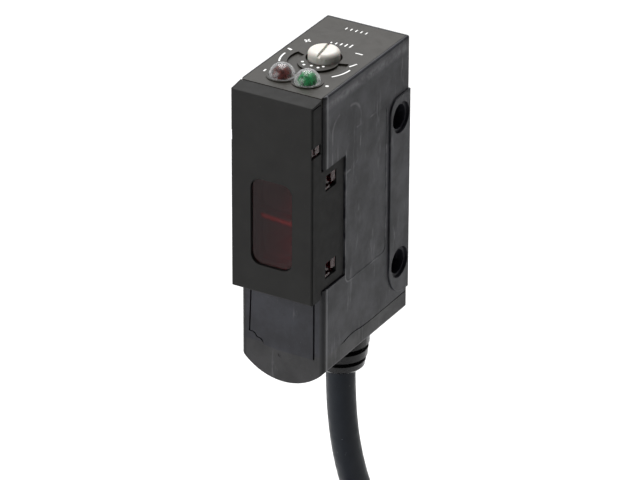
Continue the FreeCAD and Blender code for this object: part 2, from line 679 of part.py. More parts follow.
def light_component(label, z, size, dome):
    """Surface-mounted package with a small moulded lens that faces forward."""
    package = box(label + "_package", size, "0.9", size, "0", "-board_front - 0.9", f"{z} - ({size}) / 2")
    ball = doc.addObject("Part::Sphere", label + "_lens")
    bind(ball, Radius=f"({dome}) / 2")
    place(ball, y="-board_front - 0.9", z=z)
    rear = box(label + "_rear", dome, dome, dome, "0", "-board_front - 0.45", f"{z} - ({dome}) / 2")
    front = cut(label + "_front", ball, rear)
    return keep(joined(label, package, front), label)


# ---------------------------------------------------------------------------------------------------
# Circuit boards and what is soldered to them
# ---------------------------------------------------------------------------------------------------
# label, width, depth, height, X of the middle, Z of the lower edge
CHIPS = (
    ("control_chip", "4.4", "1.0", "4.4", "0", "-1.2"),
    ("output_transistor", "2.9", "1.1", "1.6", "0.6", "-7.6"),
)


def boards():
    keep(box("main_board", "board_width", "board_wall", "board_head + board_foot", "0", "-board_front",
             "-board_foot"), "main_board")
    keep(box("indicator_board", "board_width", "deck_front - deck_rear", "board_wall", "0", "-deck_front",
             "deck_head - board_wall"), "indicator_board")
    back = "-board_front + board_wall"
    keep(box("board_connector", "4.4", "1.4", "deck_head - board_wall - 11.4", "0", back, "11.4"),
         "board_connector")
    for label, width, depth, height, x, z in CHIPS:
        keep(box(label, width, depth, height, x, back, z), label)
    leds = [box(f"led_{side}", "1.2", "1.6", "0.8", x, "-dome_y - 0.8", "deck_head")
            for side, x in (("left", "-dome_x"), ("right", "dome_x"))]
    keep(compound("indicator_leds", leds), "indicator_leds")
    small = [box(f"chip_{column}_{line}", "0.8", "0.5", "1.6", f"{column * 1.5 - 2.25}", back,
                 f"{7.0 + line * 2.2}")
             for line in range(2) for column in range(4)]
    keep(compound("chip_components", small), "chip_components")


def receiver_shield():
    """Tinned can over the control chip on the back of the main board."""
    body = new_body("receiver_shield")
    rear = "-board_front + board_wall"
    pad(body, "can", XZ, rear, f"{rear} + 1.6", rectangle("-3.0", "3.0", "-2.4", "4.4"))
    pocket(body, "inside", XZ, rear, f"{rear} + 1.4", rectangle("-2.8", "2.8", "-2.2", "4.2"))


# ---------------------------------------------------------------------------------------------------
# Cable entry
# ---------------------------------------------------------------------------------------------------
def cable_gland():
    """Ribbed rubber strain relief: inner flange, neck, collar and two thinner ribs."""
    body = new_body("cable_gland", y="-cable_y")
    bore = "cable_width / 2"
    flange, neck, collar = "flange_width / 2", "neck_width / 2", "collar_width / 2"
    rib, waist, lip = "rib_width / 2", "waist_width / 2", "lip_width / 2"
    steps = [
        (flange, "-flange_head"), (flange, "-cap_floor"), (neck, "-cap_floor"), (neck, "-collar_head"),
        (collar, "-collar_head"), (f"{collar} - 0.1", "-collar_foot"), (waist, "-collar_foot - 0.15"),
        (waist, "-rib_head + 0.1"), (rib, "-rib_head"), (f"{rib} - 0.1", "-rib_foot"),
        (f"{waist} - 0.1", "-rib_foot - 0.15"), (f"{waist} - 0.1", "-lip_head + 0.1"), (lip, "-lip_head"),
        (f"{lip} - 0.15", "-gland_mouth + 0.3"), (f"{lip} - 0.45", "-gland_mouth"),
    ]
    turned(body, "ribbed_sleeve", [(bore, "-flange_head"), *steps, (bore, "-gland_mouth")])


def cable_entry():
    """End of the cable's jacket inside the gland, the ferrule crimped on it and the sealing resin."""
    keep(cylinder("cable_entry", "cable_width", "gland_mouth - resin_head", "0", "-cable_y", "-gland_mouth"),
         "cable_entry")
    crimp = ("cable_width + 2 * ferrule_wall", "ferrule_height", "0", "-cable_y", "-ferrule_foot")
    bore = cylinder("ferrule_bore", "cable_width", "ferrule_height", "0", "-cable_y", "-ferrule_foot")
    keep(cut("cable_ferrule", cylinder("ferrule_outside", *crimp), bore), "cable_ferrule")
    depth = "resin_foot - resin_head"
    block = box("resin_block", "cavity_width - 2 * play", "cavity_front + chamber_back - 2 * play", depth,
                "0", "-cavity_front + play", "-resin_foot")
    jacket = cylinder("resin_jacket", "cable_width", depth, "0", "-cable_y", "-resin_foot")
    hole = joined("resin_hole", jacket, cylinder("resin_crimp", *crimp))
    keep(cut("sealing_resin", block, hole), "sealing_resin")


# ---------------------------------------------------------------------------------------------------
# Cable, coil and wires: straight runs joined by tangent arcs
# ---------------------------------------------------------------------------------------------------
def route_path(label, points):
    """The wire of a route.  Each bend's radius is 0.45 of its shorter run over tan(half the turn)."""
    edges = []
    start = points[0]
    radii = []
    for before, corner, after in zip(points, points[1:], points[2:]):
        inward = (before - corner).normalize()
        outward = (after - corner).normalize()
        reach = 0.45 * min((before - corner).Length, (after - corner).Length)
        turn = math.pi - inward.getAngle(outward)
        radii.append(reach / math.tan(turn / 2))
        middle = (inward + outward).normalize()
        depth = radii[-1] / math.cos(turn / 2) - radii[-1]
        first, last = corner + inward * reach, corner + outward * reach
        edges.append(Part.LineSegment(start, first).toShape())
        edges.append(Part.Arc(first, corner + middle * depth, last).toShape())
        start = last
    edges.append(Part.LineSegment(start, points[-1]).toShape())
    if radii:
        print(f"{label}: bend radii", [round(radius, 1) for radius in radii])
    return Part.Wire(edges)


def round_sweep(label, points, diameter):
    """A solid round section swept along a route, with its volume compared with section x length."""
    path = route_path(label, points)
    direction = (points[1] - points[0]).normalize()
    section = Part.Wire([Part.Circle(points[0], direction, diameter / 2).toShape()])
    solid = path.makePipeShell([section], True, True)
    expected = math.pi * diameter ** 2 / 4 * path.Length
    print(f"{label}: length {path.Length:.1f} mm, volume {solid.Volume:.2f} of {expected:.2f} mm3")
    return solid


def swept(label, points, diameter):
    """A sub-part swept along a route; its origin is the route's first point."""
    item = doc.addObject("Part::Feature", label)
    solid = round_sweep(label, [point - points[0] for point in points], diameter)
    item.Shape = solid
    item.Placement = FreeCAD.Placement(points[0], FreeCAD.Rotation())
    return keep(item, label)


def coil_frame():
    """Centre of the coil, its outermost turn's radius and the middle of its end column."""
    cable = value("cable_width")
    centre = V(0, value("-coil_y"), value("-coil_z"))
    outermost = value("turn_radius") + cable * (value("coil_layers") - 1) / 2
    column = cable * (value("coil_columns") - 1) / 2
    return centre, outermost, column


def lead_route():
    """Route from the gland's mouth to where the lead joins the coil, at 45 degrees on its upper side."""
    centre, outermost, column = coil_frame()
    join = centre + V(column, outermost * math.sqrt(0.5), outermost * math.sqrt(0.5))
    return [
        V(0, value("-cable_y"), value("-gland_mouth")),
        V(0, value("-cable_y"), -31.1), V(0.8, -2.3, -41.4), V(2.1, 1.6, -51.0), V(3.8, 7.5, -60.0), join,
    ]


def cable_tube():
    """Free stretch of cable below the gland; it ends halfway along a run, where the coil's own stub
    begins."""
    points = lead_route()
    swept("cable_tube", points[:4] + [(points[3] + points[4]) / 2], value("cable_width"))


def cable_coil():
    """Outer shape of the tied coil, with the stub by which the lead joins it and the one by which the
    tail leaves."""
    cable = value("cable_width")
    centre, outermost, column = coil_frame()
    outside = outermost + cable / 2
    inside = outside - cable * value("coil_layers")
    half = column + cable / 2
    corners = [V(-half, 0, inside), V(half, 0, inside), V(half, 0, outside), V(-half, 0, outside)]
    ring = Part.Face(Part.makePolygon(corners + corners[:1])).revolve(V(0, 0, 0), V(1, 0, 0), 360)
    before, corner, join = (point - centre for point in lead_route()[-3:])
    lead = round_sweep("coil_lead", [(before + corner) / 2, corner, join], cable)
    tail_start = V(-column, outermost, 0)
    tail = Part.makeCylinder(cable / 2, value("coil_stub"), tail_start, V(0, 0, -1))
    item = doc.addObject("Part::Feature", "cable_coil")
    item.Shape = Part.Solid(ring).fuse([lead, tail]).removeSplitter().Solids[0]
    item.Placement = FreeCAD.Placement(centre, FreeCAD.Rotation())
    keep(item, "cable_coil")


def tail_route():
    centre, outermost, column = coil_frame()
    start = centre + V(-column, outermost, -value("coil_stub"))
    return [start, start + V(0, 0, -8.5), start + V(0.2, -1.7, -17.0)]


def coil_ties():
    """Two bands round the bundle, at the top and the bottom of the coil."""
    cable = value("cable_width")
    centre, outermost, column = coil_frame()
    outside = outermost + cable / 2
    inside = outside - cable * value("coil_layers")
    half = column + cable / 2
    wall = value("tie_wall")
    span = math.degrees(value("tie_width") / outside)
    bands = []
    for top in (90, 270):
        frames = []
        for grow in (wall, 0):
            corners = [V(-half - grow, inside - grow, 0), V(half + grow, inside - grow, 0),
                       V(half + grow, outside + grow, 0), V(-half - grow, outside + grow, 0)]
            face = Part.Face(Part.makePolygon(corners + corners[:1]))
            face.rotate(V(0, 0, 0), V(1, 0, 0), top - span / 2)
            frames.append(face.revolve(V(0, 0, 0), V(1, 0, 0), span))
        bands.append(Part.Solid(frames[0]).cut(Part.Solid(frames[1])))
    item = doc.addObject("Part::Feature", "coil_ties")
    item.Shape = Part.makeCompound(bands)
    item.Placement = FreeCAD.Placement(centre, FreeCAD.Rotation())
    keep(item, "coil_ties")


CORES = (("brown", -1.0), ("blue", 0.0), ("black", 1.0))


def cores_inside():
    """The three insulated cores, from the end of the jacket to their pads on the main board."""
    start_y = value("-cable_y")
    board = value("-board_front + board_wall")
    for colour, column in CORES:
        x = column * value("core_pitch")
        points = [V(x, start_y, value("-resin_head")), V(x, start_y, -11.4), V(x * 1.3, start_y - 0.9, -9.5),
                  V(x * 2.2, start_y - 2.9, -8.7), V(x * 2.2, board, -8.7)]
        swept("core_" + colour, points, value("core_width"))


def stripped_leads():
    """The stripped end of the cable: three cores that fan out, each with a tinned tip."""
    before, end = tail_route()[-2:]
    forward = (end - before).normalize()
    onward = end + forward * value("jacket_onward")
    tips = []
    for colour, column in CORES:
        aside = V(column * value("core_pitch"), 0, 0)
        aside -= forward * aside.dot(forward)
        points = [end + aside, onward + aside, onward + aside + V(column * 2.4, -0.9 - 0.3 * column, -6.5),
                  onward + aside + V(column * 3.9, -0.9, -12.5)]
        swept("lead_" + colour, points, value("core_width"))
        last = (points[-1] - points[-2]).normalize()
        tips.append(Part.makeCylinder(value("tip_width") / 2, value("tip_length"), points[-1], last))
    item = doc.addObject("Part::Feature", "lead_tips")
    item.Shape = Part.makeCompound(tips)
    keep(item, "lead_tips")


# ---------------------------------------------------------------------------------------------------
# Build, check and write
# ---------------------------------------------------------------------------------------------------
def build():
    housing_shell()
    bottom_cap()
    lower_front_panel()
    front_cover()
    filter_plate()
    cover_gasket()
    top_plate()
    sensitivity_knob()
    trimmer()
    knob_seal()
    indicator_dome("operation_indicator", "-dome_x")
    indicator_dome("stability_indicator", "dome_x")
    lens_holder()
    lens("emitter_lens", "upper_foot", "upper_head")
    lens("receiver_lens", "-lower_foot", "lower_head")
    light_component("emitter_led", "emitter_z", "2.2", "1.7")
    light_component("receiver_photodiode", "receiver_z", "2.6", "2.1")
    boards()
    receiver_shield()
    cable_gland()
    cable_entry()
    cores_inside()
    cable_tube()
    cable_coil()
    coil_ties()
    swept("cable_tail", tail_route(), value("cable_width"))
    stripped_leads()


def check_and_write():
    doc.recompute()
    for item in doc.Objects:
        if "Invalid" in item.State or "Error" in item.State:
            raise RuntimeError(f"{item.Name} is {item.State}")
    os.makedirs("parts", exist_ok=True)
    for piece in PIECES:
        shape = piece.Shape
        if shape.isNull() or not shape.isValid():
            raise RuntimeError(f"{piece.Label} has no valid shape")
    for piece in PIECES:
        piece.Shape.exportStep(f"parts/{piece.Label}.step")
        print(f"{piece.Label}: {piece.Shape.Volume:.2f} mm3, {len(piece.Shape.Solids)} solid(s)")
    print(len(PIECES), "sub-parts written")


build()
check_and_write()
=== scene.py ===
"""Looks of a compact photoelectric sensor with two mounting holes, a snap-on front cover, a sensitivity
adjuster, two indicator domes and a two-metre cable.  Lengths are in millimetres and turn into metres
where an object is made.  X is the width, Y the depth (the front looks along -Y) and Z is up."""

import math

import bmesh
import bpy
from mathutils import Matrix, Vector


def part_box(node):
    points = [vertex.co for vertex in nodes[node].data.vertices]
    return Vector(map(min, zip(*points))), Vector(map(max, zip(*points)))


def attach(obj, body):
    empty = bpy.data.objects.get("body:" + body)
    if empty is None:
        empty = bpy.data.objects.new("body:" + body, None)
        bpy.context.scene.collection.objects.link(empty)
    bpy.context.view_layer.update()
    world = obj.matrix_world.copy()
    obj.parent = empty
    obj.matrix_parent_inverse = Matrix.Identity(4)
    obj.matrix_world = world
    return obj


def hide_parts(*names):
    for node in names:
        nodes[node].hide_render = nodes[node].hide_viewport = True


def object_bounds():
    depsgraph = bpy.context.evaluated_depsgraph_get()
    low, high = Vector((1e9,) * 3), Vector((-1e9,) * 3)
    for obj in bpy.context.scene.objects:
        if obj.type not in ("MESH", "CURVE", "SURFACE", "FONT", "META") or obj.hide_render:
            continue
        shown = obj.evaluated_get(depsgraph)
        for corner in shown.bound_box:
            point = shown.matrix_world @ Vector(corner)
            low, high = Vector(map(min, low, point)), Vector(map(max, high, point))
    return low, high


MM = 0.001
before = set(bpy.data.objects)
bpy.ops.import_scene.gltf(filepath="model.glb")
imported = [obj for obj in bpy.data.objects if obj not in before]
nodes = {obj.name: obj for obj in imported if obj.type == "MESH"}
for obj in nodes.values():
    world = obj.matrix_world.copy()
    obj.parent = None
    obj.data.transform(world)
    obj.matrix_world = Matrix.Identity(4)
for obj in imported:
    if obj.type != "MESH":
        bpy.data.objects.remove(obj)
cad_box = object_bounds()


def metres(*numbers):
    return Vector(numbers) * MM


def millimetres(node):
    """Lowest and highest corner of a CAD node."""
    low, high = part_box(node)
    return low / MM, high / MM


# ---------------------------------------------------------------------------------------------------
# Camera, floor and light
# ---------------------------------------------------------------------------------------------------
AIM = Vector((0.416, -10.015, -3.906))
AZIMUTH, ELEVATION, ROLL = 30.07, 27.68, 0.23
CAMERA_DISTANCE = 600.0
LENS, SENSOR = 275.8, 36.0

PALE_SIDE = (-0.5, 0.86, 0.1)
ROOM_FRONT, ROOM_BACK = 0.2, 0.85
ROOM_DARK, ROOM_PALE = 0.09, 1.15

FLOOR_HALF, FLOOR_GAP = 3000.0, 2.0


def make_camera():
    azimuth, elevation = math.radians(AZIMUTH), math.radians(ELEVATION)
    back = Vector((math.sin(azimuth) * math.cos(elevation), -math.cos(azimuth) * math.cos(elevation),
                   math.sin(elevation)))
    right = Vector((math.cos(azimuth), math.sin(azimuth), 0))
    turn = Matrix((right, back.cross(right), back)).transposed() @ Matrix.Rotation(math.radians(ROLL), 3, "Z")
    lens = bpy.data.cameras.new("camera")
    lens.lens = LENS
    lens.sensor_width = SENSOR
    lens.clip_start = 0.05
    lens.clip_end = 20
    camera = bpy.data.objects.new("camera", lens)
    camera.matrix_world = Matrix.Translation((AIM + back * CAMERA_DISTANCE) * MM) @ turn.to_4x4()
    bpy.context.scene.collection.objects.link(camera)
    bpy.context.scene.camera = camera


def soft_light(name, place, width, power, aim=(0, 0, -20)):
    light = bpy.data.lights.new(name, "AREA")
    light.shape = "SQUARE"
    light.size = width * MM
    light.energy = power
    lamp = bpy.data.objects.new(name, light)
    lamp.location = metres(*place)
    lamp.rotation_euler = (metres(*aim) - lamp.location).to_track_quat("-Z", "Y").to_euler()
    bpy.context.scene.collection.objects.link(lamp)


def make_world():
    """A white sweep behind the object and a darker room in front of it; what is seen directly is white."""
    world = bpy.data.worlds.new("studio")
    world.use_nodes = True
    tree = world.node_tree
    background = tree.nodes["Background"]
    seen = tree.nodes.new("ShaderNodeLightPath").outputs["Is Camera Ray"]
    direction = tree.nodes.new("ShaderNodeTexCoord").outputs["Generated"]
    towards = tree.nodes.new("ShaderNodeVectorMath")
    towards.operation = "DOT_PRODUCT"
    towards.inputs[1].default_value = PALE_SIDE
    tree.links.new(direction, towards.inputs[0])
    ahead = tree.nodes.new("ShaderNodeMapRange")
    ahead.interpolation_type = "SMOOTHSTEP"
    ahead.inputs["From Min"].default_value = ROOM_FRONT
    ahead.inputs["From Max"].default_value = ROOM_BACK
    ahead.inputs["To Min"].default_value = ROOM_DARK
    ahead.inputs["To Max"].default_value = ROOM_PALE
    tree.links.new(towards.outputs["Value"], ahead.inputs["Value"])
    strength = tree.nodes.new("ShaderNodeMix")
    tree.links.new(seen, strength.inputs["Factor"])
    tree.links.new(ahead.outputs[0], strength.inputs["A"])
    strength.inputs["B"].default_value = 1.0
    tree.links.new(strength.outputs["Result"], background.inputs["Strength"])
    background.inputs["Color"].default_value = (1.0, 1.0, 1.0, 1)
    bpy.context.scene.world = world


def make_stage():
    make_world()
    soft_light("overhead", (-120, 180, 420), 380, 3.4)
    soft_light("front_left", (-260, -420, 150), 400, 1.8)
    scene = bpy.context.scene
    scene.view_settings.view_transform = "Standard"
    mesh = bpy.data.meshes.new("floor")
    half, height = FLOOR_HALF * MM, cad_box[0].z - FLOOR_GAP * MM
    mesh.from_pydata([(-half, -half, height), (half, -half, height), (half, half, height),
                      (-half, half, height)], [], [(0, 1, 2, 3)])
    floor = bpy.data.objects.new("floor", mesh)
    scene.collection.objects.link(floor)
    paper = Graph("floor_paper", Roughness=0.9)
    paper.link("Base Color", paper.blend((0.93, 0.93, 0.93), (0.97, 0.97, 0.97), paper.noise(0.02, 3)))
    floor.data.materials.append(paper.material)


# ---------------------------------------------------------------------------------------------------
# Materials
# ---------------------------------------------------------------------------------------------------
class Graph:
    """A procedural material.  Its patterns lie in the part's frame, with scales per millimetre."""

    def __init__(self, name, **settings):
        self.material = bpy.data.materials.new("look_" + name)
        self.material.use_nodes = True
        self.tree = self.material.node_tree
        self.shader = self.tree.nodes["Principled BSDF"]
        for socket, number in settings.items():
            self.shader.inputs[socket.replace("_", " ")].default_value = number
        place = self.add("TexCoord").outputs["Object"]
        self.point = self.add("VectorMath", {0: place, "Scale": 1 / MM}, operation="SCALE").outputs[0]

    def add(self, kind, inputs=None, **properties):
        node = self.tree.nodes.new("ShaderNode" + kind)
        for name, setting in properties.items():
            setattr(node, name, setting)
        for socket, setting in (inputs or {}).items():
            self.put(node.inputs[socket], setting)
        return node

    def put(self, socket, setting):
        if isinstance(setting, bpy.types.NodeSocket):
            self.tree.links.new(setting, socket)
        elif hasattr(socket.default_value, "__len__") and hasattr(setting, "__len__"):
            socket.default_value = tuple(setting) + (1,) * (len(socket.default_value) - len(setting))
        else:
            socket.default_value = setting

    def link(self, socket, setting):
        self.put(self.shader.inputs[socket], setting)

    def math(self, operation, *numbers):
        node = self.add("Math", dict(enumerate(numbers)), operation=operation)
        return node.outputs[0]

    def stretched(self, scale, turn=(0, 0, 0)):
        return self.add("Mapping", {"Vector": self.point, "Scale": scale, "Rotation": turn}).outputs[0]

    def noise(self, scale, detail=4, roughness=0.5, vector=None, distortion=0.0):
        node = self.add("TexNoise", {"Vector": vector or self.point, "Scale": scale, "Detail": detail,
                                     "Roughness": roughness, "Distortion": distortion})
        return node.outputs[0]

    def between(self, number, low, high, first=0.0, last=1.0):
        """first below low, last above high, smooth in between."""
        node = self.add("MapRange", {"Value": number, "From Min": low, "From Max": high, "To Min": first,
                                     "To Max": last}, interpolation_type="SMOOTHSTEP")
        return node.outputs[0]

    def blend(self, first, second, share):
        node = self.add("Mix", {0: share, 6: first, 7: second}, data_type="RGBA")
        return node.outputs[2]

    def axis(self, letter):
        return self.add("SeparateXYZ", {0: self.point}).outputs["XYZ".index(letter)]

    def line(self, number, middle, width):
        """1 where a number is at the middle, falling to 0 at half the width on either side."""
        away = self.math("ABSOLUTE", self.math("SUBTRACT", number, middle))
        return self.between(away, 0, width / 2, 1, 0)

    def from_outline(self, low, high, radius):
        """Distance of a point from a rounded rectangle in the YZ plane; low and high are (y, z)."""
        middle = [(a + b) / 2 for a, b in zip(low, high)]
        half = [(b - a) / 2 - radius for a, b in zip(low, high)]
        flat = self.add("VectorMath", {0: self.point, 1: (0, 1, 1)}, operation="MULTIPLY").outputs[0]
        moved = self.add("VectorMath", {0: flat, 1: (0, *middle)}, operation="SUBTRACT").outputs[0]
        folded = self.add("VectorMath", {0: moved}, operation="ABSOLUTE").outputs[0]
        past = self.add("VectorMath", {0: folded, 1: (0, *half)}, operation="SUBTRACT").outputs[0]
        corner = self.add("VectorMath", {0: past, 1: (0, 0, 0)}, operation="MAXIMUM").outputs[0]
        away = self.add("VectorMath", {0: corner}, operation="LENGTH").outputs["Value"]
        return self.math("SUBTRACT", away, radius)

    def bump(self, *layers):
        """Bump from (height, depth in mm) pairs."""
        normal = None
        for height, depth in layers:
            inputs = {"Height": height, "Distance": depth * MM}
            if normal:
                inputs["Normal"] = normal
            normal = self.add("Bump", inputs).outputs[0]
        self.link("Normal", normal)
        return self.material


LABEL_LOW, LABEL_HIGH, LABEL_ROUND = (-13.0, -7.0), (-3.3, 13.0), 0.8
FLOW_LOW, FLOW_HIGH, FLOW_ROUND = (-16.4, 8.0), (-9.6, 16.6), 2.2
# height of a painted highlight line along the foot of the sides
SIDE_FOOT = -17.1
# pale grey used both for rubbed wear and for painted highlights
RUBBED_AND_HIGHLIGHT_GREY = (0.15, 0.15, 0.16)
SHADED_BLACK = (0.005, 0.005, 0.006)


def moulded_grey(name, low, high, dark, pale):
    """Matt dark grey nylon: cloudy, with a fine mould grain, upright smears, dust specks, a rubbed pale band
    near the top of the sides and a pale line down their front edges.  Painted highlights run along the foot
    of the sides, round the raised pad on them and round a larger embossed outline; painted shade darkens the
    front corners.  low and high are the shell's corners."""
    g = Graph(name, Specular_IOR_Level=0.3)
    cloud = g.noise(0.3, 5, 0.6)
    colour = g.blend(dark, pale, g.between(cloud, 0.34, 0.68))
    broken = g.between(g.noise(0.45, 4, 0.6), 0.42, 0.62)
    across = g.math("ABSOLUTE", g.axis("X"))
    side = g.between(across, high.x - 0.5, high.x - 0.3)
    smears = g.between(g.noise(0.8, 6, 0.65, g.stretched((1.0, 1.0, 0.16)), 0.3), 0.57, 0.72)
    # painted highlight: a pale line round the raised pad on the sides
    pad_edge_highlight = g.line(g.from_outline(LABEL_LOW, LABEL_HIGH, LABEL_ROUND), 0.08, 0.4)
    # painted highlight: a pale line round a larger embossed outline on the sides
    outline_edge_highlight = g.line(g.from_outline(FLOW_LOW, FLOW_HIGH, FLOW_ROUND), 0, 0.6)
    worn = g.math("MULTIPLY", side, g.between(g.noise(1.1, 5, 0.7), 0.35, 0.65, 0.3, 1))
    specks = g.between(g.noise(3.2, 3, 0.7), 0.69, 0.77)
    marks = [
        (smears, 0.45),
        (g.math("MULTIPLY", pad_edge_highlight, broken), 0.8),
        (g.math("MULTIPLY", outline_edge_highlight, broken), 0.6),
        (g.math("MULTIPLY", g.line(g.axis("Z"), high.z - 1.3, 1.9), worn), 0.9),
        (g.math("MULTIPLY", g.line(g.axis("Y"), low.y + 0.75, 0.5), side), 0.9),
        # painted highlight along the foot of the sides
        (g.math("MULTIPLY", g.line(g.axis("Z"), SIDE_FOOT, 0.3), side), 0.6),
        (specks, 0.4),
    ]
    for mask, strength in marks:
        colour = g.blend(colour, RUBBED_AND_HIGHLIGHT_GREY, g.math("MULTIPLY", mask, strength))
    # painted shade: the front corners of the sides darkened towards black
    corner_shade = g.math("MULTIPLY", g.between(across, high.x - 0.9, high.x - 0.7),
                  g.between(g.axis("Y"), low.y + 0.4, low.y + 0.55, 1, 0))
    colour = g.blend(colour, SHADED_BLACK, g.math("MULTIPLY", corner_shade, 0.8))
    g.link("Base Color", colour)
    g.link("Roughness", g.between(cloud, 0.3, 0.7, 0.52, 0.40))
    return g.bump((g.noise(9, 4, 0.6), 0.010), (g.noise(1.1, 3), 0.012))


def cover_black():
    """Satin black cover with a faint cloudiness and dust."""
    g = Graph("cover_satin", Specular_IOR_Level=0.03)
    colour = g.blend((0.024, 0.0235, 0.0235), (0.033, 0.033, 0.032), g.noise(0.3, 4))
    colour = g.blend(colour, (0.07, 0.07, 0.068), g.between(g.noise(2.4, 4, 0.7), 0.66, 0.80, 0, 0.5))
    g.link("Base Color", colour)
    g.link("Roughness", g.between(g.noise(0.9, 5), 0.3, 0.7, 0.40, 0.52))
    return g.bump((g.noise(14, 3, 0.6), 0.003), (g.noise(0.25, 2), 0.02))


def plate_black():
    """Glossier top plate, dark warm grey."""
    g = Graph("plate_satin", Specular_IOR_Level=0.22)
    colour = g.blend((0.015, 0.0135, 0.011), (0.027, 0.024, 0.019), g.noise(0.5, 5, 0.6))
    colour = g.blend(colour, (0.14, 0.135, 0.125), g.between(g.noise(3.5, 3, 0.7), 0.66, 0.78, 0, 0.5))
    g.link("Base Color", colour)
    g.link("Roughness", g.between(g.noise(0.7, 4), 0.3, 0.7, 0.28, 0.40))
    return g.bump((g.noise(10, 3), 0.003))


def filter_red():
    """Deep red see-through plastic with painted light: redder to the lower right, where lit insides are
    painted, a painted pale stripe of light, and a pale pink painted highlight on the snap lugs at its sides.
    """
    g = Graph("filter_red", Transmission_Weight=0.85, IOR=1.28, Specular_IOR_Level=0.1)
    across = g.math("ADD", g.axis("X"), g.math("MULTIPLY", g.axis("Z"), -0.35))
    # painted light: redder to the lower right, standing in for the lit insides behind the plate
    share = g.math("MULTIPLY", g.between(across, -2.5, 2.5), g.between(g.noise(0.35, 3), 0.3, 0.7, 0.55, 1))
    colour = g.blend((0.05, 0.006, 0.008), (0.15, 0.008, 0.013), share)
    # painted light: a pale stripe of light across the plate
    level = g.math("ADD", g.axis("Z"), g.math("MULTIPLY", g.axis("X"), 0.06))
    painted_light_streak = g.math("MULTIPLY", g.line(level, 3.75, 0.9), g.between(g.axis("X"), -1.7, -1.3))
    colour = g.blend(colour, (0.62, 0.03, 0.035), g.math("MULTIPLY", painted_light_streak, 0.8))
    # painted highlight: pale pink on the snap lugs at the plate's sides
    lug_highlight = g.between(g.math("ABSOLUTE", g.axis("X")), 5.38, 5.42)
    colour = g.blend(colour, (0.62, 0.42, 0.42), lug_highlight)
    g.link("Base Color", colour)
    g.link("Roughness", g.between(g.noise(2.0, 3), 0.3, 0.7, 0.05, 0.12))
    return g.bump((g.noise(1.2, 2), 0.004))


def knob_white():
    """Off-white acetal, with the dirt that a screwdriver leaves."""
    g = Graph("knob_white", Subsurface_Weight=0.15, Subsurface_Scale=0.4 * MM, Specular_IOR_Level=0.45)
    colour = g.blend((0.50, 0.485, 0.44), (0.62, 0.605, 0.56), g.noise(0.9, 5, 0.6))
    colour = g.blend(colour, (0.30, 0.28, 0.23), g.between(g.noise(2.6, 4, 0.7), 0.60, 0.74, 0, 0.7))
    g.link("Base Color", colour)
    g.link("Roughness", g.between(g.noise(3, 3), 0.3, 0.7, 0.38, 0.55))
    return g.bump((g.noise(6, 3), 0.010))


def dome_clear():
    """Clear moulded dome, whitish where the light grazes it."""
    g = Graph("dome_clear", Transmission_Weight=1.0, IOR=1.49, Sheen_Weight=0.55, Sheen_Roughness=0.45)
    g.link("Base Color", g.blend((0.90, 0.90, 0.90), (0.97, 0.97, 0.97), g.noise(1.2, 3)))
    g.link("Roughness", g.between(g.noise(1.2, 2), 0.3, 0.7, 0.20, 0.28))
    return g.bump((g.noise(1.2, 2), 0.001))


def dome_core(name, deep, bright):
    """Coloured light guide inside a dome."""
    g = Graph(name, Specular_IOR_Level=0.4)
    g.link("Base Color", g.blend(deep, bright, g.between(g.noise(1.4, 4), 0.3, 0.7)))
    g.link("Roughness", g.between(g.noise(3, 2), 0.3, 0.7, 0.25, 0.4))
    return g.bump((g.noise(3, 2), 0.01))


def plain_plastic(name, dark, pale, roughness=0.45, scale=0.8, grain=0.006):
    """Moulded plastic with a little colour variation and a fine grain."""
    g = Graph(name, Specular_IOR_Level=0.5)
    g.link("Base Color", g.blend(dark, pale, g.noise(scale, 5, 0.6)))
    g.link("Roughness", g.between(g.noise(scale * 3, 3), 0.3, 0.7, roughness - 0.06, roughness + 0.08))
    return g.bump((g.noise(9, 3), grain))


def rubber_black():
    """Smooth black rubber with a slight shine."""
    g = Graph("rubber_black", Specular_IOR_Level=0.2, Coat_Weight=0.08, Coat_Roughness=0.12)
    g.link("Base Color", g.blend((0.005, 0.005, 0.0055), (0.011, 0.011, 0.012), g.noise(0.9, 4)))
    g.link("Roughness", g.between(g.noise(2, 4), 0.3, 0.7, 0.20, 0.34))
    return g.bump((g.noise(5, 3), 0.012))


def cable_pvc():
    """Blue-black cable jacket with a cloudy tone, a fine grain and pale dust."""
    g = Graph("cable_pvc", Specular_IOR_Level=0.16, Sheen_Weight=0.15, Sheen_Roughness=0.25)
    colour = g.blend((0.006, 0.0085, 0.013), (0.010, 0.013, 0.019), g.noise(0.6, 5, 0.6))
    colour = g.blend(colour, (0.30, 0.31, 0.33), g.between(g.noise(2.8, 2), 0.745, 0.79, 0, 0.8))
    g.link("Base Color", colour)
    g.link("Roughness", g.between(g.noise(1.0, 4), 0.3, 0.7, 0.34, 0.48))
    return g.bump((g.noise(5, 3), 0.010), (g.noise(0.5, 2), 0.04))


def glass_clear():
    """Clear plastic of the lenses and the light-emitting chips."""
    g = Graph("lens_clear", Transmission_Weight=0.95, IOR=1.52)
    g.link("Base Color", g.blend((0.92, 0.93, 0.95), (0.97, 0.98, 0.98), g.noise(0.8, 2)))
    g.link("Roughness", g.between(g.noise(1.5, 2), 0.3, 0.7, 0.02, 0.06))
    return g.bump((g.noise(1.0, 2), 0.002))


def board_green():
    """Circuit board with a pattern of tracks."""
    g = Graph("board_green", Specular_IOR_Level=0.5)
    tracks = g.add("TexBrick", {"Vector": g.stretched((1.3, 1.3, 1.3)), "Scale": 1.0, "Mortar Size": 0.05,
                                "Color1": (0.01, 0.10, 0.045), "Color2": (0.012, 0.14, 0.06),
                                "Mortar": (0.03, 0.22, 0.09)}).outputs[0]
    g.link("Base Color", tracks)
    g.link("Roughness", g.between(g.noise(2, 3), 0.3, 0.7, 0.30, 0.42))
    return g.bump((g.noise(6, 2), 0.006))


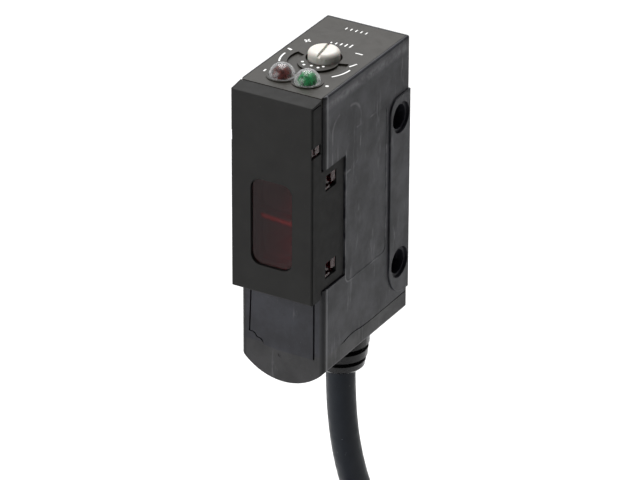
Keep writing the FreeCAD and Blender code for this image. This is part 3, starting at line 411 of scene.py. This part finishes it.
def metal(name, dark, pale, roughness=0.3, twist=None):
    """Bare metal, stranded where a twist pitch is given."""
    g = Graph(name, Metallic=1.0)
    g.link("Base Color", g.blend(dark, pale, g.noise(1.5, 4)))
    g.link("Roughness", g.between(g.noise(4, 3), 0.3, 0.7, roughness - 0.06, roughness + 0.1))
    height = g.noise(9, 3)
    if twist:
        strands = g.stretched((1, 1, 0.45), (0.3, 0.4, 0))
        height = g.add("TexWave", {"Vector": strands, "Scale": twist}).outputs[1]
    return g.bump((height, 0.02))


def paint_white():
    """White ink of the printed marks."""
    g = Graph("paint_white", Specular_IOR_Level=0.4)
    g.link("Base Color", g.blend((0.72, 0.72, 0.71), (0.86, 0.86, 0.85), g.noise(4, 4)))
    g.link("Roughness", g.between(g.noise(6, 3), 0.3, 0.7, 0.45, 0.6))
    return g.bump((g.noise(12, 2), 0.004))


def dress_nodes():
    """Give every CAD node its material."""
    shell = [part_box(name) for name in ("housing_shell", "bottom_cap")]
    body_low = Vector([min(low[axis] for low, _ in shell) for axis in range(3)]) / MM
    body_high = Vector([max(high[axis] for _, high in shell) for axis in range(3)]) / MM
    grey = moulded_grey("moulded_grey", body_low, body_high, (0.012, 0.0122, 0.0165), (0.0215, 0.022, 0.030))
    cap_grey = moulded_grey("cap_grey", body_low, body_high, (0.018, 0.0175, 0.0185), (0.029, 0.028, 0.030))
    black = plain_plastic("holder_black", (0.010, 0.010, 0.011), (0.020, 0.020, 0.021))
    rubber = plain_plastic("seal_rubber", (0.016, 0.015, 0.014), (0.030, 0.029, 0.027), 0.6)
    package = glass_clear()
    looks = {
        grey: ["housing_shell", "lower_front_panel"],
        cap_grey: ["bottom_cap"],
        cover_black(): ["front_cover"],
        plate_black(): ["top_plate"],
        filter_red(): ["filter_plate"],
        rubber: ["cover_gasket", "knob_seal"],
        knob_white(): ["sensitivity_knob", "trimmer_rotor"],
        plain_plastic("trimmer_blue", (0.02, 0.10, 0.35), (0.03, 0.14, 0.45)): ["trimmer_case"],
        dome_clear(): ["operation_indicator", "stability_indicator"],
        black: ["lens_holder", "board_connector", "control_chip", "output_transistor"],
        package: ["emitter_lens", "receiver_lens", "emitter_led", "indicator_leds"],
        plain_plastic("package_dark", (0.02, 0.012, 0.02), (0.04, 0.02, 0.035), 0.2): ["receiver_photodiode"],
        board_green(): ["main_board", "indicator_board"],
        plain_plastic("chip_ceramic", (0.35, 0.28, 0.20), (0.50, 0.42, 0.32)): ["chip_components"],
        metal("tin", (0.55, 0.56, 0.58), (0.75, 0.76, 0.78)): ["receiver_shield", "cable_ferrule"],
        rubber_black(): ["cable_gland"],
        cable_pvc(): ["cable_entry", "cable_tube", "cable_coil", "cable_tail"],
        plain_plastic("resin", (0.05, 0.045, 0.04), (0.09, 0.08, 0.07), 0.25): ["sealing_resin"],
        plain_plastic("core_brown", (0.10, 0.035, 0.015), (0.15, 0.055, 0.025), 0.4):
            ["core_brown", "lead_brown"],
        plain_plastic("core_blue", (0.01, 0.06, 0.30), (0.02, 0.09, 0.40), 0.4): ["core_blue", "lead_blue"],
        plain_plastic("core_black", (0.012, 0.012, 0.013), (0.022, 0.022, 0.024), 0.4):
            ["core_black", "lead_black"],
        metal("tinned_copper", (0.60, 0.58, 0.55), (0.80, 0.78, 0.74), 0.35, 3.0): ["lead_tips"],
        plain_plastic("tie_nylon", (0.55, 0.55, 0.53), (0.70, 0.70, 0.68), 0.4): ["coil_ties"],
    }
    for material, names in looks.items():
        for name in names:
            slots = nodes[name].material_slots
            if not slots:
                nodes[name].data.materials.append(material)
            for slot in slots:
                slot.link = "OBJECT"
                slot.material = material
    return {material.name.removeprefix("look_"): material for material in looks}


# ---------------------------------------------------------------------------------------------------
# Indicator domes, with heights of the dish and the core counted from the ball's centre
# ---------------------------------------------------------------------------------------------------
DOME_FOOT, STEM_RADIUS = 18.85, 1.0
CORE_RADIUS, CORE_RISE = 0.8, 0.1
DISH_RADIUS, DISH_FOOT, DISH_HEAD = 1.4, -0.4, -0.1


def lathe(name, profile, place, material, steps=72):
    """A smooth solid of revolution about an upright axis; profile runs from axis to axis as (r, z)."""
    mesh = bmesh.new()
    turns = [2 * math.pi * step / steps for step in range(steps)]
    rings = []
    for radius, height in profile:
        around = [metres(radius * math.cos(a), radius * math.sin(a), height) for a in turns]
        rings.append([mesh.verts.new(point) for point in (around if radius else around[:1])])
    for lower, upper in zip(rings, rings[1:]):
        for here in range(steps):
            after = (here + 1) % steps
            corners = [lower[here % len(lower)], lower[after % len(lower)], upper[after % len(upper)],
                       upper[here % len(upper)]]
            mesh.faces.new(list(dict.fromkeys(corners)))
    bmesh.ops.recalc_face_normals(mesh, faces=mesh.faces)
    data = bpy.data.meshes.new(name)
    mesh.to_mesh(data)
    data.shade_smooth()
    data.set_sharp_from_angle(angle=math.radians(35))
    data.materials.append(material)
    item = bpy.data.objects.new(name, data)
    item.location = metres(*place)
    bpy.context.scene.collection.objects.link(item)
    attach(item, "sensor")
    return item


def half_ball(radius, height, steps=20):
    """Profile of a half ball that stands on a height, from its rim to its top."""
    turns = [math.pi / 2 * step / steps for step in range(steps)]
    return [(radius * math.cos(a), height + radius * math.sin(a)) for a in turns] + [(0, height + radius)]


def make_domes(finish):
    """Clear domes, each over a coloured light guide that stands on a grey reflector."""
    guides = [
        ("operation_indicator", "dome_amber",
         dome_core("core_dark_red", (0.045, 0.006, 0.004), (0.13, 0.018, 0.012))),
        ("stability_indicator", "dome_green",
         dome_core("core_green", (0.0, 0.10, 0.025), (0.01, 0.30, 0.08))),
    ]
    grey = dome_core("dome_reflector", (0.20, 0.20, 0.20), (0.32, 0.32, 0.32))
    for node, slot, colour in guides:
        low, high = millimetres(node)
        middle = (low + high) / 2
        radius = (high.x - low.x) / 2
        place = (middle.x, middle.y, high.z - radius)
        foot, shoulder = low.z - place[2], DOME_FOOT - place[2]
        stem = [(0, foot), (STEM_RADIUS, foot), (STEM_RADIUS, shoulder), (radius, shoulder)]
        dome = lathe(node + "_dome", stem + half_ball(radius, 0), place, finish["dome_clear"])
        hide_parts(node)
        guide = [(0, DISH_HEAD), (CORE_RADIUS, DISH_HEAD)] + half_ball(CORE_RADIUS, CORE_RISE)
        core = lathe(node + "_core", guide, place, colour)
        plate = [(0, DISH_FOOT), (DISH_RADIUS, DISH_FOOT), (DISH_RADIUS, DISH_HEAD), (0, DISH_HEAD)]
        dish = lathe(node + "_dish", plate, place, grey)


# ---------------------------------------------------------------------------------------------------
# Cable
# ---------------------------------------------------------------------------------------------------
CABLE = 3.8
CABLE_Y = -4.0
LEAD_ROUTE = ((0, CABLE_Y, -31.1), (0.8, -2.3, -41.4), (2.1, 1.6, -51.0), (3.8, 7.5, -60.0))
COIL_CENTRE = Vector((0, CABLE_Y, -85.5))
TURN_RADIUS = 20.0
LAYERS, COLUMNS = 4, 4
POINTS_PER_TURN = 16
COIL_STUB = 16.0
CORE = 1.0
CORE_PITCH = 1.05
CORE_STRAIGHT = 5.0


def coil_steps():
    """(column, layer) of each turn, from the outermost turn of the lead's column inwards, back out
    in the next column, and so on."""
    order = []
    for column in range(COLUMNS):
        layers = range(LAYERS) if column % 2 == 0 else reversed(range(LAYERS))
        order += [(column, layer) for layer in layers]
    return order


def coil_points():
    """Control points of the coil's turns, clockwise from 45 degrees on its upper rear side.  Each
    turn moves to the next one's place over its last quarter."""
    grow = 1 / math.cos(math.pi / POINTS_PER_TURN)
    outermost = TURN_RADIUS + CABLE * (LAYERS - 1) / 2
    end_column = CABLE * (COLUMNS - 1) / 2
    order = coil_steps()
    points = []
    for number, (column, layer) in enumerate(order):
        last_turn = number == len(order) - 1
        after = order[min(number + 1, len(order) - 1)]
        for step in range(2 if last_turn else POINTS_PER_TURN):
            share = max(0.0, (step / POINTS_PER_TURN - 0.75) / 0.25)
            share = share * share * (3 - 2 * share)
            radius = outermost - CABLE * (layer + (after[1] - layer) * share)
            across = end_column - CABLE * (column + (after[0] - column) * share)
            angle = math.radians(45) - 2 * math.pi * step / POINTS_PER_TURN
            points.append(COIL_CENTRE + Vector((across, radius * grow * math.cos(angle),
                                                radius * grow * math.sin(angle))))
    return points


def cable_route():
    """Control points from the gland's mouth, down to the coil, round it and on to the stripped end."""
    lead = [Vector((0, CABLE_Y, millimetres("cable_gland")[0].z)), *map(Vector, LEAD_ROUTE)]
    leave = COIL_CENTRE + Vector((-CABLE * (COLUMNS - 1) / 2, TURN_RADIUS + CABLE * (LAYERS - 1) / 2, 0))
    tail = [leave, leave + Vector((0, 0, -COIL_STUB)), leave + Vector((0, 0, -COIL_STUB - 8.5)),
            leave + Vector((0.2, -1.7, -COIL_STUB - 17.0))]
    return lead + coil_points() + tail


def smooth_cord(name, points, diameter, material):
    """A round cord along a smooth line with these control points."""
    curve = bpy.data.curves.new(name, "CURVE")
    curve.dimensions = "3D"
    spline = curve.splines.new("NURBS")
    spline.points.add(len(points) - 1)
    for place, point in zip(spline.points, points):
        place.co = (*(point * MM), 1)
    spline.order_u = 3
    spline.use_endpoint_u = True
    spline.resolution_u = 8
    curve.bevel_depth = diameter / 2 * MM
    curve.bevel_resolution = 6
    curve.use_fill_caps = True
    curve.materials.append(material)
    cord = bpy.data.objects.new(name, curve)
    bpy.context.scene.collection.objects.link(cord)
    return cord


def make_cable(finish):
    """The whole cord: its jacket, and the leads at its far end."""
    route = cable_route()
    jacket = smooth_cord("cable", route, CABLE, finish["cable_pvc"])
    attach(jacket, "sensor")
    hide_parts("cable_tube", "cable_coil", "cable_tail")
    leads = make_leads(route, finish)


def make_leads(route, finish):
    """The three stripped cores that fan out of the jacket's end."""
    before, end = route[-2:]
    forward = (end - before).normalized()
    leads = []
    for colour, column in (("brown", -1), ("blue", 0), ("black", 1)):
        aside = Vector((column * CORE_PITCH, 0, 0))
        aside -= forward * aside.dot(forward)
        onward = end + forward * CORE_STRAIGHT
        points = [end + aside, onward + aside,
                  onward + aside + Vector((column * 2.4, -0.9 - 0.3 * column, -6.5)),
                  onward + aside + Vector((column * 3.9, -0.9, -12.5))]
        lead = smooth_cord("lead_core_" + colour, points, CORE, finish["core_" + colour])
        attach(lead, "sensor")
        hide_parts("lead_" + colour)
        leads.append(lead)
    return leads


# ---------------------------------------------------------------------------------------------------
# Printed marks on the top plate
# ---------------------------------------------------------------------------------------------------
MARK_RISE = 0.012
DIAL_CENTRE = (0, -10.0)
DIAL_DOTS = ((-1.61, -10.89), (-1.04, -11.52), (-0.12, -11.31), (0.84, -11.39), (1.25, -10.82))
DOT_STEPS = 20


class Marks:
    """Thin printed shapes on the top plate, gathered in one mesh."""

    def __init__(self, name, height):
        self.name, self.height, self.mesh = name, height, bmesh.new()

    def shape(self, outline):
        top = [self.mesh.verts.new(metres(x, y, self.height + MARK_RISE)) for x, y in outline]
        foot = [self.mesh.verts.new(metres(x, y, self.height)) for x, y in outline]
        self.mesh.faces.new(top)
        self.mesh.faces.new(foot[::-1])
        for here in range(len(outline)):
            after = (here + 1) % len(outline)
            self.mesh.faces.new((foot[here], foot[after], top[after], top[here]))

    def dot(self, x, y, diameter):
        turns = [2 * math.pi * step / DOT_STEPS for step in range(DOT_STEPS)]
        self.shape([(x + diameter / 2 * math.cos(a), y + diameter / 2 * math.sin(a)) for a in turns])

    def bar(self, start, end, width):
        start, end = Vector(start), Vector(end)
        side = (end - start).normalized().orthogonal() * width / 2
        self.shape([start + side, start - side, end - side, end + side][::-1])

    def arc(self, centre, radius, first, last, width, steps=14):
        turns = [math.radians(first + (last - first) * step / steps) for step in range(steps + 1)]
        outer, inner = (
            [(centre[0] + r * math.cos(a), centre[1] + r * math.sin(a)) for a in turns]
            for r in (radius + width / 2, radius - width / 2))
        self.shape(outer + inner[::-1])

    def place(self, material):
        bmesh.ops.recalc_face_normals(self.mesh, faces=self.mesh.faces)
        mesh = bpy.data.meshes.new(self.name)
        self.mesh.to_mesh(mesh)
        mesh.materials.append(material)
        item = bpy.data.objects.new(self.name, mesh)
        bpy.context.scene.collection.objects.link(item)
        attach(item, "sensor")


def make_marks():
    """Plain marks in place of the plate's print: the dial, its end signs and a row of ticks."""
    paint = paint_white()
    top = millimetres("housing_shell")[1].z
    marks = Marks("dial_marks", top)
    for x, y in DIAL_DOTS:
        marks.dot(x, y, 0.36)
    marks.bar((-5.0, -8.52), (-4.4, -8.74), 0.3)
    marks.bar((3.98, -9.3), (4.4, -8.2), 0.2)
    marks.arc(DIAL_CENTRE, 4.65, 178, 208, 0.2)
    marks.arc(DIAL_CENTRE, 4.5, 322, 359, 0.2)
    marks.place(paint)
    signs = Marks("dial_signs", top)
    signs.bar((-4.5, -5.5), (-3.6, -5.5), 0.2)
    signs.bar((-4.05, -5.05), (-4.05, -5.95), 0.2)
    signs.bar((2.7, -5.6), (3.7, -5.6), 0.2)
    for number, height in enumerate((0.3, 0.45, 0.6, 0.75, 0.9)):
        x = -1.3 + 0.65 * number
        signs.bar((x, -4.65), (x, -4.65 + height), 0.18)
    signs.bar((-4.3, -15.5), (-4.3, -14.95), 0.2)
    signs.dot(4.33, -15.25, 0.42)
    signs.place(paint)
    ticks = Marks("lot_ticks", top)
    for number in range(5):
        x = -1.7 + 0.7 * number
        ticks.bar((x, -0.4), (x, 0.15), 0.16)
    ticks.place(paint)


# ---------------------------------------------------------------------------------------------------
# Cable ties
# ---------------------------------------------------------------------------------------------------
TIE_WIDTH, TIE_WALL, TIE_CLEAR, TIE_ROUND = 3.5, 0.7, 0.04, 0.9
HEAD_SIZE, HEAD_X, HEAD_SINK = (4.6, 5.0, 3.2), 1.2, 1.5


def tie_path(half, inside, outside, radius, steps=5):
    """Rounded rectangle round the bundle, as (across, outwards) points."""
    middle = (inside + outside) / 2
    tall = (outside - inside) / 2
    points = []
    for corner, (x, r) in enumerate(((1, 1), (-1, 1), (-1, -1), (1, -1))):
        centre = (x * (half - radius), middle + r * (tall - radius))
        for step in range(steps + 1):
            turn = math.radians(90 * corner + 90 * step / steps)
            points.append((centre[0] + radius * math.cos(turn), centre[1] + radius * math.sin(turn)))
    return points


def make_ties(finish):
    """Nylon ties round the coil, at its top and its bottom, with their heads inside the ring."""
    outermost = TURN_RADIUS + CABLE * LAYERS / 2
    half = CABLE * COLUMNS / 2
    inside = outermost - CABLE * LAYERS
    for name, sign in (("tie_top", 1), ("tie_bottom", -1)):
        mesh = bmesh.new()
        loops = []
        for grow in (TIE_WALL, TIE_CLEAR):
            outline = tie_path(half + grow, inside - grow, outermost + grow, TIE_ROUND + grow)
            for side in (-1, 1):
                loops.append([mesh.verts.new((COIL_CENTRE + Vector((x, side * TIE_WIDTH / 2, sign * r))) * MM)
                              for x, r in outline])
        for first, second in ((0, 1), (1, 3), (3, 2), (2, 0)):
            for here in range(len(loops[0])):
                after = (here + 1) % len(loops[0])
                mesh.faces.new((loops[first][here], loops[first][after], loops[second][after],
                                loops[second][here]))
        head = bmesh.ops.create_cube(mesh, size=1)["verts"]
        bmesh.ops.scale(mesh, vec=metres(*HEAD_SIZE), verts=head)
        place = COIL_CENTRE + Vector((HEAD_X, 0, sign * (inside - TIE_WALL - HEAD_SINK)))
        bmesh.ops.translate(mesh, vec=place * MM, verts=head)
        bmesh.ops.recalc_face_normals(mesh, faces=mesh.faces)
        data = bpy.data.meshes.new(name)
        mesh.to_mesh(data)
        data.materials.append(finish["tie_nylon"])
        tie = bpy.data.objects.new(name, data)
        bevel = tie.modifiers.new("rounded", "BEVEL")
        bevel.width = 0.22 * MM
        bevel.segments = 3
        bevel.limit_method = "ANGLE"
        bevel.angle_limit = math.radians(50)
        bpy.context.scene.collection.objects.link(tie)
        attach(tie, "sensor")
        if sign > 0:
            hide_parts("coil_ties")


# ---------------------------------------------------------------------------------------------------
# Build
# ---------------------------------------------------------------------------------------------------
make_camera()
make_stage()
finishes = dress_nodes()
make_ties(finishes)
make_cable(finishes)
make_domes(finishes)
make_marks()
